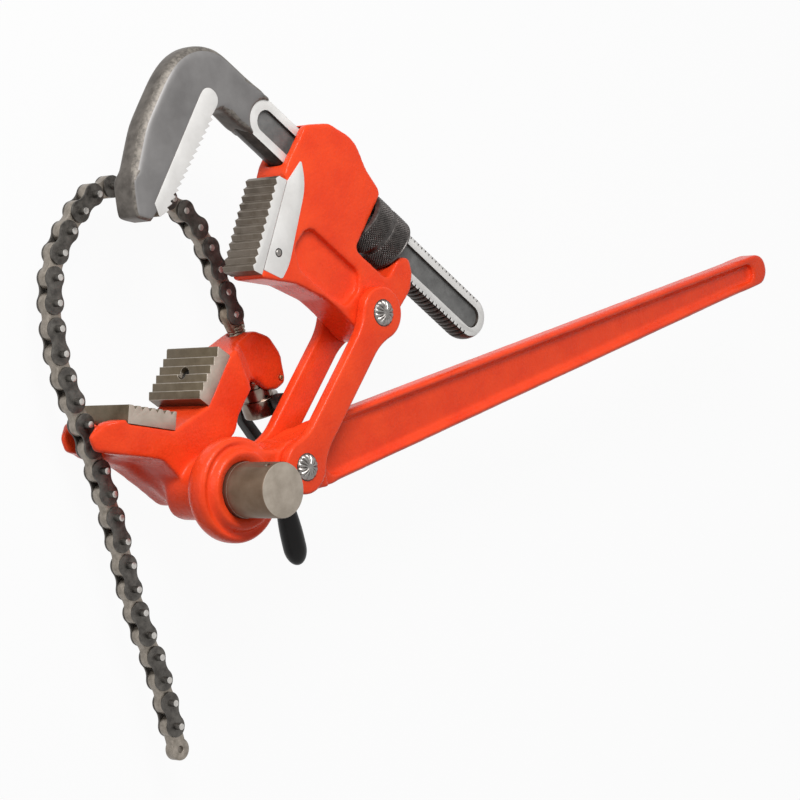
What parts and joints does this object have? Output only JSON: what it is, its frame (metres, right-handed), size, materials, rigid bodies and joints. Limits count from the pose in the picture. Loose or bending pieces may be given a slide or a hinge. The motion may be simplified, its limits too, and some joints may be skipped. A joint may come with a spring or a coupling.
{
  "type": "compound leverage pipe wrench",
  "caption": "Compound leverage pipe wrench: a chain-held vee trunnion carries a lever handle on a shaft, and links join the handle to a hook-jaw head set by a knurled nut.",
  "frame": {"origin": "on the axis of the trunnion shaft, in the plane of the trunnion's rear face, which the tool lies on", "axes": "+X along the handle towards its tip, +Y from the shaft towards the vee jaw, +Z along every pivot pin, up from the rear face"},
  "size_m": [1.0321, 0.7072, 0.2],
  "materials": {
    "orange_enamel": "gloss enamel over sand-cast iron",
    "shaft_steel": "turned, dull brown-grey",
    "jaw_steel": "hardened, machined teeth",
    "forged_steel": "dark forged scale with ground edges",
    "black_steel": "black oxide",
    "bright_steel": "bright, polished by use",
    "plated_steel": "yellow plated",
    "chain_steel": "oiled dark steel",
    "vinyl": "dipped vinyl, satin"
  },
  "bodies": {
    "trunnion": {"trunnion_body": "orange_enamel", "trunnion_shaft": "shaft_steel", "lower_jaw_insert": "jaw_steel", "upper_jaw_insert": "jaw_steel", "jaw_insert_screws": "black_steel", "nut_retaining_pin": "plated_steel"},
    "lever": {"handle": "orange_enamel"},
    "links": {"front_link": "orange_enamel", "rear_link": "orange_enamel", "lower_link_pin": "bright_steel", "upper_link_pin": "bright_steel"},
    "head": {"wrench_head": "orange_enamel", "heel_jaw": "jaw_steel", "heel_jaw_pin": "bright_steel", "flat_spring": "black_steel", "coil_spring": "bright_steel"},
    "hook": {"hook_jaw": "forged_steel"},
    "adjuster": {"adjusting_nut": "black_steel"},
    "screw": {"chain_screw": "bright_steel"},
    "nut": {"chain_nut": "bright_steel", "nut_handle_pivots": "black_steel"},
    "yoke": {"nut_handle": "black_steel", "nut_handle_grip": "vinyl"},
    "link_01": {"chain_outer_link_01": "chain_steel"},
    "link_02": {"chain_inner_link_02": "chain_steel"},
    "link_03": {"chain_outer_link_03": "chain_steel"},
    "link_04": {"chain_inner_link_04": "chain_steel"},
    "link_05": {"chain_outer_link_05": "chain_steel"},
    "link_06": {"chain_inner_link_06": "chain_steel"},
    "link_07": {"chain_outer_link_07": "chain_steel"},
    "link_08": {"chain_inner_link_08": "chain_steel"},
    "link_09": {"chain_outer_link_09": "chain_steel"},
    "link_10": {"chain_inner_link_10": "chain_steel"},
    "link_11": {"chain_outer_link_11": "chain_steel"},
    "link_12": {"chain_inner_link_12": "chain_steel"},
    "link_13": {"chain_outer_link_13": "chain_steel"},
    "link_14": {"chain_inner_link_14": "chain_steel"},
    "link_15": {"chain_outer_link_15": "chain_steel"},
    "link_16": {"chain_inner_link_16": "chain_steel"},
    "link_17": {"chain_outer_link_17": "chain_steel"},
    "link_18": {"chain_inner_link_18": "chain_steel"},
    "link_19": {"chain_outer_link_19": "chain_steel"},
    "link_20": {"chain_inner_link_20": "chain_steel"},
    "link_21": {"chain_outer_link_21": "chain_steel"},
    "link_22": {"chain_inner_link_22": "chain_steel"},
    "link_23": {"chain_outer_link_23": "chain_steel"},
    "link_24": {"chain_inner_link_24": "chain_steel"},
    "link_25": {"chain_outer_link_25": "chain_steel"},
    "link_26": {"chain_inner_link_26": "chain_steel"},
    "link_27": {"chain_outer_link_27": "chain_steel"},
    "link_28": {"chain_inner_link_28": "chain_steel"},
    "link_29": {"chain_outer_link_29": "chain_steel"},
    "link_30": {"chain_inner_link_30": "chain_steel"},
    "link_31": {"chain_outer_link_31": "chain_steel"},
    "link_32": {"chain_inner_link_32": "chain_steel"},
    "link_33": {"chain_outer_link_33": "chain_steel"},
    "link_34": {"chain_inner_link_34": "chain_steel"}
  },
  "joints": [
    {"name": "handle_swing", "type": "hinge", "parent": "trunnion", "child": "lever", "pos_m": [0, 0, 0.121], "axis": [0, 0, 1], "range_deg": [-30, 30]},
    {"name": "link_swing", "type": "hinge", "parent": "lever", "child": "links", "pos_m": [0.077, 0, 0.121], "axis": [0, 0, 1], "range_deg": [0, 40]},
    {"name": "head_tilt", "type": "hinge", "parent": "links", "child": "head", "pos_m": [0.23103, 0.12121, 0.121], "axis": [0, 0, 1], "range_deg": [0, 35]},
    {"name": "jaw_slide", "type": "slide", "parent": "head", "child": "hook", "axis": [0.6561, -0.7547, 0], "range_m": [-0.1016, 0.0127]},
    {"name": "adjusting_nut_turn", "type": "hinge", "parent": "head", "child": "adjuster", "pos_m": [0.28188, 0.19456, 0.121], "axis": [0.6561, -0.7547, 0], "range_deg": [-720, 5760]},
    {"name": "chain_screw_slide", "type": "slide", "parent": "trunnion", "child": "screw", "axis": [0.1219, -0.9925, 0], "range_m": [-0.016, 0.004]},
    {"name": "chain_nut_turn", "type": "hinge", "parent": "trunnion", "child": "nut", "pos_m": [0.13919, 0.05325, 0.04], "axis": [0.1219, -0.9925, 0], "range_deg": [-360, 1440]},
    {"name": "nut_handle_fold", "type": "hinge", "parent": "nut", "child": "yoke", "pos_m": [0.13919, 0.05325, 0.04], "axis": [0, 0, 1], "range_deg": [-5, 95]},
    {"name": "chain_pin_01", "type": "hinge", "parent": "screw", "child": "link_01", "pos_m": [0.127, 0.1525, 0.04], "axis": [0, 0, 1], "range_deg": [-10, 0]},
    {"name": "chain_pin_02", "type": "hinge", "parent": "link_01", "child": "link_02", "pos_m": [0.12347, 0.17765, 0.04], "axis": [0, 0, 1], "range_deg": [-10, 0]},
    {"name": "chain_pin_03", "type": "hinge", "parent": "link_02", "child": "link_03", "pos_m": [0.11993, 0.20281, 0.04], "axis": [0, 0, 1], "range_deg": [-10, 0]},
    {"name": "chain_pin_04", "type": "hinge", "parent": "link_03", "child": "link_04", "pos_m": [0.11465, 0.22765, 0.04], "axis": [0, 0, 1], "range_deg": [-10, 0]},
    {"name": "chain_pin_05", "type": "hinge", "parent": "link_04", "child": "link_05", "pos_m": [0.10596, 0.25152, 0.04], "axis": [0, 0, 1], "range_deg": [-10, 0]},
    {"name": "chain_pin_06", "type": "hinge", "parent": "link_05", "child": "link_06", "pos_m": [0.09213, 0.27282, 0.04], "axis": [0, 0, 1], "range_deg": [-10, 0]},
    {"name": "chain_pin_07", "type": "hinge", "parent": "link_06", "child": "link_07", "pos_m": [0.07325, 0.28982, 0.04], "axis": [0, 0, 1], "range_deg": [-10, 0]},
    {"name": "chain_pin_08", "type": "hinge", "parent": "link_07", "child": "link_08", "pos_m": [0.05171, 0.30328, 0.04], "axis": [0, 0, 1], "range_deg": [-10, 0]},
    {"name": "chain_pin_09", "type": "hinge", "parent": "link_08", "child": "link_09", "pos_m": [0.02851, 0.31361, 0.04], "axis": [0, 0, 1], "range_deg": [-10, 0]},
    {"name": "chain_pin_10", "type": "hinge", "parent": "link_09", "child": "link_10", "pos_m": [0.00386, 0.31975, 0.04], "axis": [0, 0, 1], "range_deg": [-10, 0]},
    {"name": "chain_pin_11", "type": "hinge", "parent": "link_10", "child": "link_11", "pos_m": [-0.02144, 0.31754, 0.04], "axis": [0, 0, 1], "range_deg": [-10, 0]},
    {"name": "chain_pin_12", "type": "hinge", "parent": "link_11", "child": "link_12", "pos_m": [-0.04387, 0.30561, 0.04], "axis": [0, 0, 1], "range_deg": [-10, 0]},
    {"name": "chain_pin_13", "type": "hinge", "parent": "link_12", "child": "link_13", "pos_m": [-0.06388, 0.28998, 0.04], "axis": [0, 0, 1], "range_deg": [-10, 0]},
    {"name": "chain_pin_14", "type": "hinge", "parent": "link_13", "child": "link_14", "pos_m": [-0.08216, 0.27233, 0.04], "axis": [0, 0, 1], "range_deg": [-10, 0]},
    {"name": "chain_pin_15", "type": "hinge", "parent": "link_14", "child": "link_15", "pos_m": [-0.09524, 0.25056, 0.04], "axis": [0, 0, 1], "range_deg": [-10, 0]},
    {"name": "chain_pin_16", "type": "hinge", "parent": "link_15", "child": "link_16", "pos_m": [-0.10309, 0.2264, 0.04], "axis": [0, 0, 1], "range_deg": [-10, 0]},
    {"name": "chain_pin_17", "type": "hinge", "parent": "link_16", "child": "link_17", "pos_m": [-0.10793, 0.20147, 0.04], "axis": [0, 0, 1], "range_deg": [-10, 0]},
    {"name": "chain_pin_18", "type": "hinge", "parent": "link_17", "child": "link_18", "pos_m": [-0.11059, 0.17621, 0.04], "axis": [0, 0, 1], "range_deg": [-10, 0]},
    {"name": "chain_pin_19", "type": "hinge", "parent": "link_18", "child": "link_19", "pos_m": [-0.10926, 0.15084, 0.04], "axis": [0, 0, 1], "range_deg": [-10, 0]},
    {"name": "chain_pin_20", "type": "hinge", "parent": "link_19", "child": "link_20", "pos_m": [-0.10616, 0.12563, 0.04], "axis": [0, 0, 1], "range_deg": [-10, 0]},
    {"name": "chain_pin_21", "type": "hinge", "parent": "link_20", "child": "link_21", "pos_m": [-0.10175, 0.10062, 0.04], "axis": [0, 0, 1], "range_deg": [-10, 0]},
    {"name": "chain_pin_22", "type": "hinge", "parent": "link_21", "child": "link_22", "pos_m": [-0.09822, 0.07547, 0.04], "axis": [0, 0, 1], "range_deg": [-10, 0]},
    {"name": "chain_pin_23", "type": "hinge", "parent": "link_22", "child": "link_23", "pos_m": [-0.09512, 0.05026, 0.04], "axis": [0, 0, 1], "range_deg": [-10, 6]},
    {"name": "chain_pin_24", "type": "hinge", "parent": "link_23", "child": "link_24", "pos_m": [-0.09291, 0.02495, 0.04], "axis": [0, 0, 1], "range_deg": [-10, 6]},
    {"name": "chain_pin_25", "type": "hinge", "parent": "link_24", "child": "link_25", "pos_m": [-0.09158, -0.00041, 0.04], "axis": [0, 0, 1], "range_deg": [-10, 6]},
    {"name": "chain_pin_26", "type": "hinge", "parent": "link_25", "child": "link_26", "pos_m": [-0.09069, -0.0258, 0.04], "axis": [0, 0, 1], "range_deg": [-10, 6]},
    {"name": "chain_pin_27", "type": "hinge", "parent": "link_26", "child": "link_27", "pos_m": [-0.09069, -0.0512, 0.04], "axis": [0, 0, 1], "range_deg": [-10, 6]},
    {"name": "chain_pin_28", "type": "hinge", "parent": "link_27", "child": "link_28", "pos_m": [-0.09113, -0.07659, 0.04], "axis": [0, 0, 1], "range_deg": [-10, 6]},
    {"name": "chain_pin_29", "type": "hinge", "parent": "link_28", "child": "link_29", "pos_m": [-0.08981, -0.10196, 0.04], "axis": [0, 0, 1], "range_deg": [-10, 6]},
    {"name": "chain_pin_30", "type": "hinge", "parent": "link_29", "child": "link_30", "pos_m": [-0.08671, -0.12717, 0.04], "axis": [0, 0, 1], "range_deg": [-10, 6]},
    {"name": "chain_pin_31", "type": "hinge", "parent": "link_30", "child": "link_31", "pos_m": [-0.08274, -0.15226, 0.04], "axis": [0, 0, 1], "range_deg": [-10, 6]},
    {"name": "chain_pin_32", "type": "hinge", "parent": "link_31", "child": "link_32", "pos_m": [-0.08052, -0.17756, 0.04], "axis": [0, 0, 1], "range_deg": [-10, 6]},
    {"name": "chain_pin_33", "type": "hinge", "parent": "link_32", "child": "link_33", "pos_m": [-0.07964, -0.20294, 0.04], "axis": [0, 0, 1], "range_deg": [-10, 6]},
    {"name": "chain_pin_34", "type": "hinge", "parent": "link_33", "child": "link_34", "pos_m": [-0.07964, -0.22834, 0.04], "axis": [0, 0, 1], "range_deg": [-10, 6]}
  ],
  "couplings": [
    {"joint": "adjusting_nut_turn", "follows": "jaw_slide", "rad_per_m": -989.48},
    {"joint": "chain_nut_turn", "follows": "chain_screw_slide", "rad_per_m": -1570.8}
  ]
}
